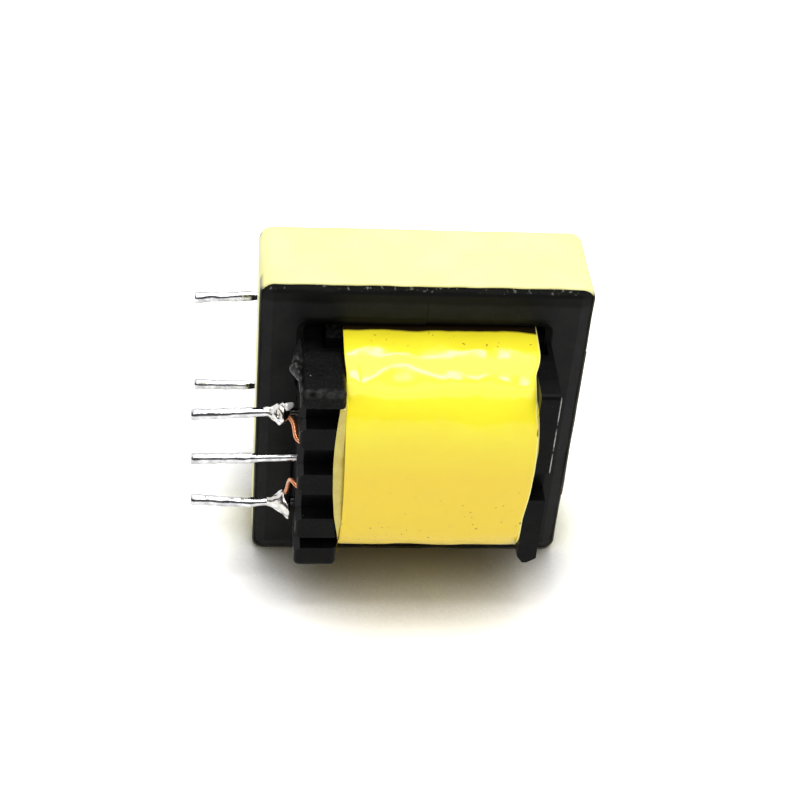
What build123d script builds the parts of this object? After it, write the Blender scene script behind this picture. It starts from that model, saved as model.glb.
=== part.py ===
"""Ferrite-cored switching transformer for a circuit board, lying on one outer limb of its core.

Frame: X runs along the winding axis, with the pins leaving towards -X. -Y is the broad front face.
Z is up. The origin is the middle of the taped face that the part rests on. All sizes are millimetres.
"""

import os

from build123d import *

# Ferrite core: two E halves that meet at mid-length
CORE_DEPTH = 6.9
CENTRE_LEG = 7.2
WINDOW_HEIGHT = 5.6
WINDOW_LENGTH = 17.4
LIMB = 3.5
YOKE = 3.05
CORE_CORNER_R = 0.9
RIM_BEVEL_WIDTH = 0.8
RIM_BEVEL_DEPTH = 0.25
WINDOW_BEVEL_WIDTH = 0.5
WINDOW_BEVEL_DEPTH = 0.25
CENTRE_GAP = 0.3
JOINT_STEP = 0.15
WINDOW_CORNER_R = 0.4

# Tape band round the core, with its doubled end on the far face
TAPE_BUILD = 0.15
TAPE_OVERLAP_BUILD = 0.06
TAPE_OVERLAP_LENGTH = 14.0

# Coil former: a square tube with a rail behind each row of pins, and a plain flange at the far end
TUBE_CLEARANCE = 0.15
TUBE_WALL = 0.8
TUBE_EDGE_R = 0.6
CORE_CLEARANCE = 0.15
FLANGE_CLEARANCE = 1.05
PIN_PLATE = 1.2
RAIL_SETBACK = 2.9
RAIL_THICKNESS = 3.15
RAIL_REACH = 6.45
RAIL_EDGE_R = 0.5
RAIL_FOOT_DROP = 0.3
RAIL_FOOT_R = 0.4
FAR_PLATE = 0.9
FAR_THICKNESS = 1.45
FAR_EDGE_R = 0.35
FAR_FOOT_RISE = 0.3

# Castellations of the rail
PIN_PITCH = 4.25
PIN_ROW_OFFSET = 3.45
PIN_DROP = 0.25
PIN_BLOCK_HEIGHT = 1.9
UPPER_END_SLOT = 1.85
LOWER_END_SLOT = 1.05
SLOT_DEPTH = 1.3
SLOT_FLARE = 0.45
POCKET_WIDTH = 1.6
POCKET_DEPTH = 0.9
POCKET_WALL = 0.35

# Blocks of the far flange
FAR_NOTCH_BOTTOM = 6.27
FAR_NOTCH_HEIGHT = 2.63
FAR_NOTCH_DEPTH = 1.4
FAR_CHAMFER_X = 0.45
FAR_CHAMFER_Z = 0.65

# Terminal pins
PIN_LENGTH_OUT = 7.6
PIN_EMBED = 2.2
PIN_BARE_D = 0.58
PIN_TINNED_D = 0.8
PIN_BARE_LENGTH = 2.6
PIN_BLEND_LENGTH = 0.7
PIN_BEAD_D = 0.95
PIN_BEAD_LENGTH = 1.0
PIN_NOSE_LENGTH = 0.25
PIN_END_D = 0.64
PIN_HOLE_CLEARANCE = 0.02

# Solder at the roots of the wired pins
SOLDER_LENGTH = 2.1
UPPER_SOLDER_R = 0.95
LOWER_SOLDER_R = 1.3
SOLDER_BASE_INSET = 0.2
SOLDER_SHOULDER_LENGTH = 0.5
SOLDER_NECK_LENGTH = 1.2
SOLDER_NECK_R = 0.55
SOLDER_STANDOFF = 0.3
SOLDER_BORE_CLEARANCE = 0.02

# Enamelled copper leads
WIRE_D = 0.32
WIRE_TO_RAIL = 0.2
WIRE_TO_FLOOR = 0.1
WIRE_BEND_R = 0.35
WIRE_RISE_IN_SLOT = 0.85
WIRE_RISE_OUTSIDE = 0.5
WIRE_END_GAP = 0.06

# Coil: rings on the tube. Tapes have their own thickness, and the two windings share what room is left
WRAP_BULGE = 0.4
WRAP_CLEARANCE = 0.2
WRAP_CORNER_R = 5.6
WRAP_BUILD = 0.25
UNDERWRAP_BUILD = 0.25
INSULATION_BUILD = 0.25
SECONDARY_SHARE = 0.55
LAYER_GAP = 0.03
COIL_SIDE_GAP = 0.1

# Belly of the outer wrap, which swells past both flanges in front and behind
BELLY_PIN_OVERHANG = 0.55
BELLY_FAR_OVERHANG = 0.5
BELLY_END_REACH = 1.3
BELLY_CHAMFER = 0.15
BELLY_EDGE_LIMIT = 0.8
RAIL_FRONT_GAP = 0.05

# Levels and faces that follow from the sizes above
CORE_HEIGHT = CENTRE_LEG + 2 * WINDOW_HEIGHT + 2 * LIMB
CORE_LENGTH = WINDOW_LENGTH + 2 * YOKE
OUTER_HEIGHT = CORE_HEIGHT + 2 * TAPE_BUILD
MID_Z = OUTER_HEIGHT / 2
PIN_MID_Z = MID_Z - PIN_DROP
HALF_DEPTH = CORE_DEPTH / 2
TAPED_END_X = CORE_LENGTH / 2 + TAPE_BUILD
WINDOW_END_X = WINDOW_LENGTH / 2
WINDOW_HALF = CENTRE_LEG / 2 + WINDOW_HEIGHT
TUBE_END_X = WINDOW_END_X - CORE_CLEARANCE
TUBE_HALF_Y = HALF_DEPTH + TUBE_CLEARANCE + TUBE_WALL
TUBE_HALF_Z = CENTRE_LEG / 2 + TUBE_CLEARANCE + TUBE_WALL
RAIL_OUTER_X = -(TAPED_END_X - RAIL_SETBACK)
RAIL_INNER_X = RAIL_OUTER_X + RAIL_THICKNESS
FAR_INNER_X = TUBE_END_X - FAR_PLATE
FAR_OUTER_X = FAR_INNER_X + FAR_THICKNESS
RAIL_FRONT_Y = HALF_DEPTH + RAIL_REACH
RAIL_BACK_Y = HALF_DEPTH + CORE_CLEARANCE
SLOT_FLOOR_Y = RAIL_FRONT_Y - SLOT_DEPTH
PIN_ROW_Y = HALF_DEPTH + PIN_ROW_OFFSET
FLANGE_HALF = WINDOW_HALF - FLANGE_CLEARANCE
FLANGE_TOP = MID_Z + FLANGE_HALF
FLANGE_BOTTOM = MID_Z - FLANGE_HALF
RAIL_BOTTOM = FLANGE_BOTTOM - RAIL_FOOT_DROP
FAR_BOTTOM = FLANGE_BOTTOM + FAR_FOOT_RISE
WRAP_HALF_Y = RAIL_FRONT_Y + WRAP_BULGE
WRAP_HALF_Z = WINDOW_HALF - WRAP_CLEARANCE
COIL_LEFT = RAIL_INNER_X + COIL_SIDE_GAP
COIL_RIGHT = FAR_INNER_X - COIL_SIDE_GAP
COIL_BUILD = min(WRAP_HALF_Z - TUBE_HALF_Z, WRAP_HALF_Y - TUBE_HALF_Y)
TAPES_BUILD = WRAP_BUILD + UNDERWRAP_BUILD + INSULATION_BUILD + 4 * LAYER_GAP
SECONDARY_BUILD = SECONDARY_SHARE * (COIL_BUILD - TAPES_BUILD)
BELLY_DEPTH = WRAP_BULGE - RAIL_FRONT_GAP

ROWS = {"front": -1, "back": 1}
PINS_IN_ROW = {"front": (1, 2, 3), "back": (1, 3)}
HOLES_IN_ROW = (1, 2, 3)
WIRED_PINS = {1: UPPER_SOLDER_R, 3: LOWER_SOLDER_R}


def block(x0, x1, y0, y1, z0, z1):
    """Plain block between two corners, in any order of the two values on each axis."""
    size = (abs(x1 - x0), abs(y1 - y0), abs(z1 - z0))
    centre = ((x0 + x1) / 2, (y0 + y1) / 2, (z0 + z1) / 2)
    return Pos(*centre) * Box(*size)


def pin_z(number):
    """Height of a pin's axis. Pin 1 is the highest of its row."""
    return PIN_MID_Z + (2 - number) * PIN_PITCH


def core_half(side):
    """One E half. Side is -1 on the pin side, where the upper limb is thicker, and 1 on the far side."""
    outermost = 0 if side < 0 else -1
    half = block(0, side * CORE_LENGTH / 2, -HALF_DEPTH, HALF_DEPTH,
                 MID_Z - CORE_HEIGHT / 2, MID_Z + CORE_HEIGHT / 2)
    half = fillet(half.edges().filter_by(Axis.Y).group_by(Axis.X)[outermost], CORE_CORNER_R)
    for up in (-1, 1):
        step = JOINT_STEP if (side, up) == (-1, 1) else 0
        window = block(0, side * WINDOW_END_X, -HALF_DEPTH, HALF_DEPTH,
                       MID_Z + up * CENTRE_LEG / 2, MID_Z + up * (WINDOW_HALF - step))
        deep_corners = window.edges().filter_by(Axis.Y).group_by(Axis.X)[outermost]
        half -= fillet(deep_corners, WINDOW_CORNER_R)
    half -= block(0, side * CENTRE_GAP / 2, -HALF_DEPTH, HALF_DEPTH,
                  MID_Z - CENTRE_LEG / 2, MID_Z + CENTRE_LEG / 2)
    for front in (0, -1):
        half = bevelled(half, front, is_outer_rim, RIM_BEVEL_WIDTH, RIM_BEVEL_DEPTH)
        half = bevelled(half, front, is_window_rim, WINDOW_BEVEL_WIDTH, WINDOW_BEVEL_DEPTH)
    return half


def bevelled(half, front, is_chosen, width, depth):
    """Bevel along chosen edges of one broad face. Front is 0 for the face at -Y and -1 for the other."""
    face = half.faces().filter_by(Axis.Y).sort_by(Axis.Y)[front]
    edges = [edge for edge in face.outer_wire().edges() if is_chosen(edge)]
    return chamfer(edges, width, depth, reference=face)


def is_outer_rim(edge):
    """True for an edge of the core's outer outline, not of its window or its joint face."""
    middle = edge @ 0.5
    at_end = abs(abs(middle.X) - CORE_LENGTH / 2) < CORE_CORNER_R
    at_side = abs(abs(middle.Z - MID_Z) - CORE_HEIGHT / 2) < CORE_CORNER_R
    return at_end or at_side


def is_window_rim(edge):
    """True for an edge of the core's window."""
    at_joint = abs((edge @ 0).X - (edge @ 1).X) < CENTRE_GAP and abs((edge @ 0.5).X) < CENTRE_GAP
    return not at_joint and not is_outer_rim(edge)


def core_tape():
    """Closed band of tape round the core, with the doubled end of the tape on the far end face."""
    outer = RectangleRounded(2 * TAPED_END_X, OUTER_HEIGHT, CORE_CORNER_R + TAPE_BUILD)
    inner = RectangleRounded(CORE_LENGTH, CORE_HEIGHT, CORE_CORNER_R)
    plane = Plane(origin=(0, 0, MID_Z), x_dir=(1, 0, 0), z_dir=(0, -1, 0))
    band = extrude(plane * (outer - inner), amount=HALF_DEPTH, both=True)
    doubled_end = block(TAPED_END_X - TAPE_BUILD / 2, TAPED_END_X + TAPE_OVERLAP_BUILD,
                        -HALF_DEPTH, HALF_DEPTH,
                        MID_Z - TAPE_OVERLAP_LENGTH / 2, MID_Z + TAPE_OVERLAP_LENGTH / 2)
    return band + doubled_end


def bar(half_y, half_z, corner, start_x, end_x):
    """Bar along X with a rounded rectangle as its section, centred on the winding axis."""
    plane = Plane(origin=(start_x, 0, MID_Z), x_dir=(0, 1, 0), z_dir=(1, 0, 0))
    return extrude(plane * RectangleRounded(2 * half_y, 2 * half_z, corner), amount=end_x - start_x)


def coil_bar(depth, start_x=COIL_LEFT, end_x=COIL_RIGHT):
    """Bar with the outline that the coil has at a depth below its outer surface."""
    corner = max(WRAP_CORNER_R - depth, TUBE_EDGE_R)
    return bar(WRAP_HALF_Y - depth, WRAP_HALF_Z - depth, corner, start_x, end_x)


def coil_ring(outer_depth, build):
    """Closed ring of one layer of the coil, with its thickness and the gap to the layer inside it."""
    return coil_bar(outer_depth) - coil_bar(outer_depth + build)


def primary(outer_depth):
    """Winding that fills the room between the tube and the layer at a depth below the surface."""
    tube = bar(TUBE_HALF_Y + LAYER_GAP, TUBE_HALF_Z + LAYER_GAP, TUBE_EDGE_R + LAYER_GAP,
               COIL_LEFT, COIL_RIGHT)
    return coil_bar(outer_depth) - tube


def belly_half_height():
    """Height from the axis where the belly's sides run out, past where the coil's corner meets the rail."""
    corner_drop = WRAP_CORNER_R - BELLY_DEPTH
    corner_rise = (WRAP_CORNER_R ** 2 - corner_drop ** 2) ** 0.5
    return WRAP_HALF_Z - WRAP_CORNER_R + corner_rise + BELLY_END_REACH


def belly_outline():
    """Barrel seen from the front: the coil's width at its ends, and the overhangs at mid-height."""
    low = MID_Z - belly_half_height()
    high = MID_Z + belly_half_height()
    pin_side = ThreePointArc((COIL_LEFT, low), (COIL_LEFT - BELLY_PIN_OVERHANG, MID_Z), (COIL_LEFT, high))
    far_side = ThreePointArc((COIL_RIGHT, high), (COIL_RIGHT + BELLY_FAR_OVERHANG, MID_Z), (COIL_RIGHT, low))
    top = Line((COIL_LEFT, high), (COIL_RIGHT, high))
    bottom = Line((COIL_RIGHT, low), (COIL_LEFT, low))
    return make_face(Curve() + [pin_side, top, far_side, bottom])


def outer_wrap():
    """Outer tape: a ring between the flanges, whose belly swells past them in front and behind."""
    reach = coil_bar(0.0, COIL_LEFT - BELLY_PIN_OVERHANG, COIL_RIGHT + BELLY_FAR_OVERHANG)
    room = block(COIL_LEFT, COIL_RIGHT, -WRAP_HALF_Y, WRAP_HALF_Y, MID_Z - WRAP_HALF_Z, MID_Z + WRAP_HALF_Z)
    for row in ROWS.values():
        plane = Plane(origin=(0, row * (WRAP_HALF_Y - BELLY_DEPTH), 0), x_dir=(1, 0, 0), z_dir=(0, -1, 0))
        room += extrude(plane * belly_outline(), amount=-row * BELLY_DEPTH)
    wrap = reach & room
    sides = [f for f in wrap.faces() if abs(f.normal_at().X) > abs(f.normal_at().Y)]
    crown = [e for f in sides for e in f.edges() if is_crown(e)]
    edge = min(BELLY_CHAMFER, BELLY_EDGE_LIMIT * BELLY_DEPTH)
    return chamfer(crown, edge) - coil_bar(WRAP_BUILD)


def is_crown(edge):
    """True for an edge round the swollen front or back of the belly, beyond the rail."""
    start_y, middle_y, end_y = (abs((edge @ share).Y) for share in (0, 0.5, 1))
    foot_y = WRAP_HALF_Y - BELLY_DEPTH
    return min(start_y, end_y) > foot_y - LAYER_GAP and middle_y > foot_y + LAYER_GAP


def rail_blocks():
    """Bottom and top of each block of the rail, from the lowest up."""
    pins = [(pin_z(n) - PIN_BLOCK_HEIGHT / 2, pin_z(n) + PIN_BLOCK_HEIGHT / 2) for n in (3, 2, 1)]
    lowest = (RAIL_BOTTOM, pins[0][0] - LOWER_END_SLOT)
    highest = (pins[-1][1] + UPPER_END_SLOT, FLANGE_TOP)
    return [lowest, *pins, highest]


def slot_cut(row, z0, z1):
    """Slot between two blocks, whose mouth is flared on the pin side where the leads turn."""
    front = row * (RAIL_FRONT_Y + SLOT_FLARE)
    floor = row * SLOT_FLOOR_Y
    slot = block(RAIL_OUTER_X - SLOT_FLARE, RAIL_INNER_X + SLOT_FLARE, floor, front, z0, z1)
    plane = Plane(origin=(RAIL_OUTER_X, 0, 0), x_dir=(0, 1, 0), z_dir=(1, 0, 0))
    middle = ((floor + front) / 2, (z0 + z1) / 2)
    depth = abs(front - floor)
    wide = plane * Pos(*middle) * Rectangle(depth + 2 * SLOT_FLARE, z1 - z0 + 2 * SLOT_FLARE)
    narrow = plane.offset(SLOT_FLARE) * Pos(*middle) * Rectangle(depth, z1 - z0)
    return slot + loft([wide, narrow])


def pocket(row, mouth, x0, x1):
    """Open pocket beside the core in the end of a flange, at the height of its mouth."""
    floor = mouth - POCKET_DEPTH if mouth > MID_Z else mouth + POCKET_DEPTH
    return block(x0, x1, row * RAIL_BACK_Y, row * (RAIL_BACK_Y + POCKET_WIDTH), mouth, floor)


def front_edges(body, row):
    """Edges along X of a body's broad face on one row's side, the lowest first."""
    return body.edges().filter_by(Axis.X).group_by(Axis.Y)[0 if row < 0 else -1].sort_by(Axis.Z)


def pin_rail(row):
    """Castellated rail outside the core's window, with blind holes for the pins."""
    rail = block(RAIL_OUTER_X, RAIL_INNER_X, row * RAIL_BACK_Y, row * RAIL_FRONT_Y,
                 RAIL_BOTTOM, FLANGE_TOP)
    rail = fillet(front_edges(rail, row), RAIL_EDGE_R)
    rail = fillet(rail.edges().filter_by(Axis.Y).group_by(Axis.Z)[0], RAIL_FOOT_R)
    blocks = rail_blocks()
    for (_, below), (above, _) in zip(blocks, blocks[1:]):
        rail -= slot_cut(row, below, above)
    for mouth in (RAIL_BOTTOM, FLANGE_TOP):
        rail -= pocket(row, mouth, RAIL_OUTER_X + POCKET_WALL, RAIL_INNER_X)
    for number in HOLES_IN_ROW:
        hole = Cylinder(PIN_BARE_D / 2 + PIN_HOLE_CLEARANCE, PIN_EMBED + PIN_HOLE_CLEARANCE,
                        rotation=(0, 90, 0), align=(Align.CENTER, Align.CENTER, Align.MIN))
        rail -= Pos(RAIL_OUTER_X, row * PIN_ROW_Y, pin_z(number)) * hole
    return rail


def far_block(row):
    """Outer part of the far flange: an upper and a lower block with a notch between them."""
    body = block(FAR_INNER_X, FAR_OUTER_X, row * RAIL_BACK_Y, row * RAIL_FRONT_Y,
                 FAR_BOTTOM, FLANGE_TOP)
    body = fillet(front_edges(body, row)[-1], FAR_EDGE_R)
    notch_bottom = FAR_BOTTOM + FAR_NOTCH_BOTTOM
    body -= block(FAR_INNER_X, FAR_OUTER_X, row * (RAIL_FRONT_Y - FAR_NOTCH_DEPTH), row * RAIL_FRONT_Y,
                  notch_bottom, notch_bottom + FAR_NOTCH_HEIGHT)
    for mouth in (FAR_BOTTOM, FLANGE_TOP):
        body -= pocket(row, mouth, FAR_INNER_X, FAR_OUTER_X - POCKET_WALL)
    foot = body.edges().filter_by(Axis.Y).group_by(Axis.Z)[0]
    foot_outside_pocket = [e for e in foot if abs((e @ 0.5).Y) > RAIL_BACK_Y + POCKET_WIDTH]
    return chamfer(foot_outside_pocket, FAR_CHAMFER_Z, FAR_CHAMFER_X)


def bobbin():
    """One-piece moulded coil former."""
    former = bar(TUBE_HALF_Y, TUBE_HALF_Z, TUBE_EDGE_R, -TUBE_END_X, TUBE_END_X)
    former += block(RAIL_INNER_X - PIN_PLATE, RAIL_INNER_X, -RAIL_BACK_Y, RAIL_BACK_Y,
                    FLANGE_BOTTOM, FLANGE_TOP)
    former += block(FAR_INNER_X, TUBE_END_X, -RAIL_BACK_Y, RAIL_BACK_Y, FLANGE_BOTTOM, FLANGE_TOP)
    for row in ROWS.values():
        former += pin_rail(row)
        former += far_block(row)
    bore_half_y = HALF_DEPTH + TUBE_CLEARANCE
    bore_half_z = CENTRE_LEG / 2 + TUBE_CLEARANCE
    bore = block(-CORE_LENGTH / 2, CORE_LENGTH / 2, -bore_half_y, bore_half_y,
                 MID_Z - bore_half_z, MID_Z + bore_half_z)
    return former - bore


def pin(row, number):
    """Round pin, pressed into the rail, with a thicker tinned length and a bead at its tip."""
    root = RAIL_OUTER_X + PIN_EMBED
    tip = RAIL_OUTER_X - PIN_LENGTH_OUT
    bare_end = RAIL_OUTER_X - PIN_BARE_LENGTH
    points = [(tip + PIN_BEAD_LENGTH, PIN_TINNED_D / 2), (bare_end - PIN_BLEND_LENGTH, PIN_TINNED_D / 2),
              (bare_end, PIN_BARE_D / 2), (root, PIN_BARE_D / 2), (root, 0), (tip, 0),
              (tip, PIN_END_D / 2), (tip + PIN_NOSE_LENGTH, PIN_BEAD_D / 2)]
    profile = Plane.XZ * make_face(Polyline(*points, close=True))
    return Pos(0, row * PIN_ROW_Y, pin_z(number)) * revolve(profile, Axis.X)


def solder(row, number):
    """Solder round the root of a wired pin, thickest just off its base and drawn out to a neck."""
    thickest = WIRED_PINS[number]
    base = RAIL_OUTER_X - SOLDER_STANDOFF
    bore = PIN_BARE_D / 2 + SOLDER_BORE_CLEARANCE
    points = [(base, bore), (base, thickest - SOLDER_BASE_INSET), (base - SOLDER_SHOULDER_LENGTH, thickest),
              (base - SOLDER_NECK_LENGTH, SOLDER_NECK_R), (base - SOLDER_LENGTH, bore)]
    profile = Plane.XZ * make_face(Polyline(*points, close=True))
    return Pos(0, row * PIN_ROW_Y, pin_z(number)) * revolve(profile, Axis.X)


def lead(row, number):
    """Lead from the coil's side, high in the slot beside the middle pin, and across to its own pin."""
    towards_pin = 1 if number == 1 else -1
    slot_z = PIN_MID_Z + towards_pin * PIN_PITCH / 2 + WIRE_RISE_IN_SLOT
    slot_y = row * (SLOT_FLOOR_Y + WIRE_D / 2 + WIRE_TO_FLOOR)
    outside_x = RAIL_OUTER_X - WIRE_D / 2 - WIRE_TO_RAIL
    end_z = pin_z(number) - towards_pin * (WIRED_PINS[number] + WIRE_END_GAP)
    path = FilletPolyline((COIL_LEFT, slot_y, slot_z), (RAIL_OUTER_X + SLOT_FLARE, slot_y, slot_z),
                          (outside_x, slot_y, slot_z + WIRE_RISE_OUTSIDE),
                          (outside_x, row * PIN_ROW_Y, end_z), radius=WIRE_BEND_R)
    section = Plane(origin=path @ 0, z_dir=path % 0) * Circle(WIRE_D / 2)
    return sweep(section, path=path)


def build():
    """Every node of the part by name."""
    nodes = {"core_half_pin_side": core_half(-1), "core_half_far_side": core_half(1),
             "core_tape": core_tape(), "bobbin": bobbin(), "winding_outer_wrap": outer_wrap()}
    depth = WRAP_BUILD + LAYER_GAP
    layers = (("winding_underwrap", UNDERWRAP_BUILD), ("secondary_winding", SECONDARY_BUILD),
              ("winding_insulation", INSULATION_BUILD))
    for name, thickness in layers:
        nodes[name] = coil_ring(depth, thickness)
        depth += thickness + LAYER_GAP
    nodes["primary_winding"] = primary(depth)
    for row_name, row in ROWS.items():
        for number in PINS_IN_ROW[row_name]:
            nodes[f"pin_{row_name}_{number}"] = pin(row, number)
        for number in WIRED_PINS:
            nodes[f"solder_{row_name}_{number}"] = solder(row, number)
            nodes[f"lead_{row_name}_{number}"] = lead(row, number)
    return nodes


if __name__ == "__main__":
    os.makedirs("parts", exist_ok=True)
    for name, shape in build().items():
        export_step(shape, f"parts/{name}.step")
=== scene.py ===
"""Looks of the pcb transformer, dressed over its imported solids.

Lengths in the classes are millimetres in the part's own frame: X runs along the winding axis with
the pins towards -X, -Y is the broad front, Z is up. Meshes are written in metres.
"""

import logging
from dataclasses import dataclass, field
from enum import Enum

import bpy
import numpy as np
from mathutils import Matrix, Vector

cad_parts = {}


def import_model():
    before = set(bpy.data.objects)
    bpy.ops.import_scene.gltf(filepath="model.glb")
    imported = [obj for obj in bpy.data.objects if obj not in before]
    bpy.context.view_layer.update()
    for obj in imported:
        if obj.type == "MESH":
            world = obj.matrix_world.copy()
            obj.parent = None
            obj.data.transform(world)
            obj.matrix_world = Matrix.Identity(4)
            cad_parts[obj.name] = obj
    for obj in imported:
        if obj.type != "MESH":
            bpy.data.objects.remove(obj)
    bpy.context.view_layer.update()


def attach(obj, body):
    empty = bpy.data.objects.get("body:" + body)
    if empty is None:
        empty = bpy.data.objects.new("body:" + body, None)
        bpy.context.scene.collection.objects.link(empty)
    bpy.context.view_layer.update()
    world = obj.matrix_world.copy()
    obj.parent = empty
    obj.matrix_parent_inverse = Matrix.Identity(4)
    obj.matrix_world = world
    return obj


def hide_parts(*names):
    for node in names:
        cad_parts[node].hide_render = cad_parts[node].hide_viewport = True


LOG = logging.getLogger("pcb_transformer")
MM = 0.001
BODY = "root"
MID_Z = 12.85

Triple = tuple[float, float, float]
Pair = tuple[float, float]
Four = tuple[float, float, float, float]
Line = tuple[float, ...]
Array = np.ndarray
Socket = bpy.types.NodeSocket


class Slot(Enum):
    """Material slots of the part's record."""

    FERRITE = "ferrite"
    PALE_TAPE = "pale_tape"
    MOULDING = "black_moulding"
    WIRE = "enamelled_wire"
    CLEAR_TAPE = "clear_tape"
    YELLOW_TAPE = "yellow_tape"
    PIN = "tinned_pin"
    SOLDER = "solder"


class Row(Enum):
    """Rows of pins: the side of the winding axis that each stands on."""

    FRONT = -1
    BACK = 1

    @property
    def label(self) -> str:
        """Return the row's name as the nodes spell it."""
        return self.name.lower()


# Shared shape functions


def ease(low: float, high: float, value: Array) -> Array:
    """Rise from 0 at low to 1 at high, on whichever side it lies: 3 t squared minus 2 t cubed."""
    share = np.clip((value - low) / (high - low), 0.0, 1.0)
    return share * share * (3.0 - 2.0 * share)


def bell(distance: Array, width: float) -> Array:
    """Return a bell of height 1: exp(-distance squared / 2 width squared)."""
    return np.exp(-0.5 * (distance / width) ** 2)


def unevenness(points: Array, length: float, seed: int, waves: int = 28) -> Array:
    """Return smooth random relief: sine waves in seeded directions, with about unit spread.

    Args:
        points: Places, of shape (..., 3).
        length: Usual wavelength.
        seed: Seed of the draws.
        waves: Number of waves.

    Returns:
        Heights, of shape (...).
    """
    random = np.random.default_rng(seed)
    directions = random.normal(size=(waves, 3))
    directions /= np.linalg.norm(directions, axis=1, keepdims=True)
    frequency = 2.0 * np.pi / (length * random.uniform(0.6, 1.7, size=waves))
    phase = random.uniform(0.0, 2.0 * np.pi, size=waves)
    angles = points @ (directions * frequency[:, None]).T + phase
    return np.sin(angles).sum(axis=-1) * np.sqrt(2.0 / waves)


def smooth_line(places: Line, values: Line, at: Array, blur: float) -> Array:
    """Return a smooth line through measured values: their straight runs under a Gaussian window.

    Args:
        places: Where the values were measured.
        values: Measured values.
        at: Where the line is read.
        blur: Width of the window.

    Returns:
        Values, of the shape of at.
    """
    order = np.argsort(places, kind="stable")
    steps = np.linspace(-2.0, 2.0, 17)
    weights = np.exp(-0.5 * steps ** 2)
    samples = np.interp(np.asarray(at)[..., None] + steps * blur,
                        np.array(places)[order], np.array(values)[order])
    return samples @ (weights / weights.sum())


def smooth_path(points: tuple[Triple, ...], rows: int, blur: float) -> Array:
    """Return even places along the smooth line through a few points.

    Args:
        points: Places that the line goes near.
        rows: Number of places.
        blur: Width of the window that rounds the corners.

    Returns:
        Places, of shape (rows, 3).
    """
    corners = np.array(points)
    steps = np.linalg.norm(np.diff(corners, axis=0), axis=1)
    run = np.concatenate([[0.0], np.cumsum(steps)])
    at = np.linspace(0.0, run[-1], rows)
    return np.stack([smooth_line(run, line, at, blur) for line in corners.T], axis=-1)


def circle(columns: int) -> Array:
    """Return places (cos t, sin t) round the unit circle, of shape (columns, 2)."""
    turn = np.linspace(0.0, 2.0 * np.pi, columns, endpoint=False)
    return np.stack([np.cos(turn), np.sin(turn)], axis=-1)


def lifted(grid: Array, outward: Array, height: Array, axes: tuple[int, int] = (1, 2)) -> Array:
    """Move each place along its row's outward direction by a height.

    Args:
        grid: Places, of shape (rows, columns, 3).
        outward: Direction of each row in the plane of two axes, of shape (rows, 2).
        height: Distance to move each place.
        axes: The two axes.

    Returns:
        Moved places.
    """
    moved = grid.copy()
    for axis, share in zip(axes, outward.T):
        moved[..., axis] += share[:, None] * height
    return moved


def tube(path: Array, radius: Array, columns: int, aside: Triple,
         relief: float = 0.0, seed: int = 1, length: float = 1.0) -> Array:
    """Carry a circle along a path: place = path + (radius + relief) (cos t across + sin t up).

    Across is the unit cross product of the path's direction and a fixed line, and up completes
    the frame.

    Args:
        path: Places along the middle, of shape (rows, 3).
        radius: Radius at each place.
        columns: Number of places round the circle.
        aside: Fixed line that the path never runs along.
        relief: Height of the lumps, as a share of the radius.
        seed: Seed of the lumps.
        length: Usual length of a lump.

    Returns:
        Places, of shape (rows, columns, 3).
    """
    direction = np.gradient(path, axis=0)
    direction /= np.linalg.norm(direction, axis=1, keepdims=True)
    across = np.cross(direction, np.array(aside))
    across /= np.linalg.norm(across, axis=1, keepdims=True)
    up = np.cross(direction, across)
    spoke = np.einsum("ck,krx->rcx", circle(columns), np.stack([across, up]))
    even = path[:, None, :] + radius[:, None, None] * spoke
    lumps = relief * radius[:, None] * unevenness(even, length, seed)
    return even + lumps[..., None] * spoke


def turned(x: Array, axis: Array, radius: Array, columns: int,
           lumps: Array, reach: Array, length: float, seed: int) -> Array:
    """Stand circles on an axis along X: place = axis(x) + (radius + relief) (cos t, sin t).

    The relief is unevenness read at (x, reach cos t, reach sin t), times the height of the lumps.

    Args:
        x: Stations.
        axis: Place (y, z) of the axis at each station.
        radius: Radius at each station.
        columns: Number of places round each circle.
        lumps: Height of the lumps at each station.
        reach: Distance from the axis where the relief is read.
        length: Usual length of a lump.
        seed: Seed of the lumps.

    Returns:
        Places, of shape (stations, columns, 3).
    """
    unit = circle(columns)
    along = np.broadcast_to(x[:, None, None], (len(x), columns, 1))
    read = np.concatenate([along, reach[:, None, None] * unit], axis=-1)
    relief = lumps[:, None] * unevenness(read, length, seed)
    around = axis[:, None, :] + (radius[:, None] + relief)[..., None] * unit
    return np.concatenate([along, around], axis=-1)


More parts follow.
